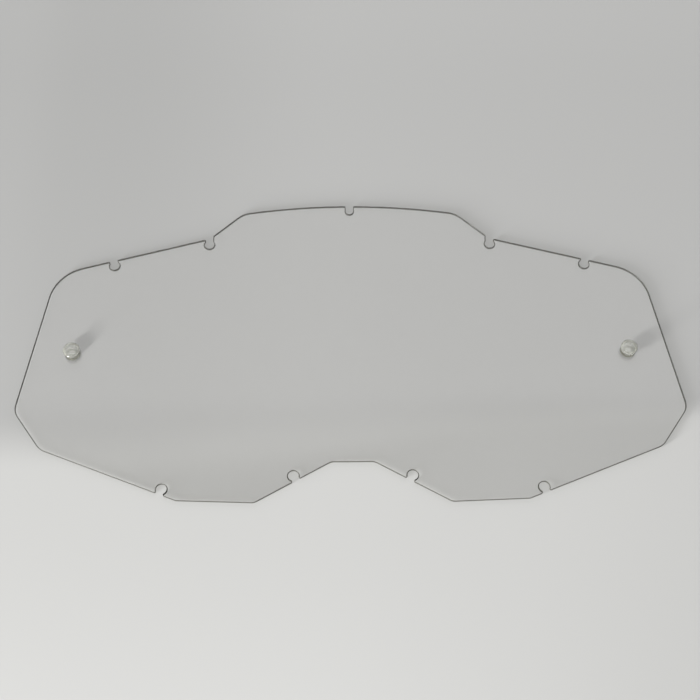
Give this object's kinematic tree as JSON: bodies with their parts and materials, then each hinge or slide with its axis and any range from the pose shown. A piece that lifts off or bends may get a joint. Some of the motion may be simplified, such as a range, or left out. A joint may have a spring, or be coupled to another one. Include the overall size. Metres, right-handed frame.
{
  "type": "goggle lens",
  "caption": "Clear flat replacement lens for motocross goggles, with round notches in its edge for the frame's pegs and posts that hold tear-off films.",
  "frame": {"origin": "middle of the box round the lens, at the level of the undersides of the posts' flanges", "axes": "+X along the width, to the right as seen from the outer face; +Y from the nose to the forehead edge; +Z out of the outer face"},
  "size_m": [0.19, 0.095, 0.0038],
  "materials": {
    "clear_sheet": "polished",
    "clear_post": "gloss"
  },
  "bodies": {
    "root": {"lens": "clear_sheet", "left_tear_off_post": "clear_post", "right_tear_off_post": "clear_post"}
  },
  "joints": []
}
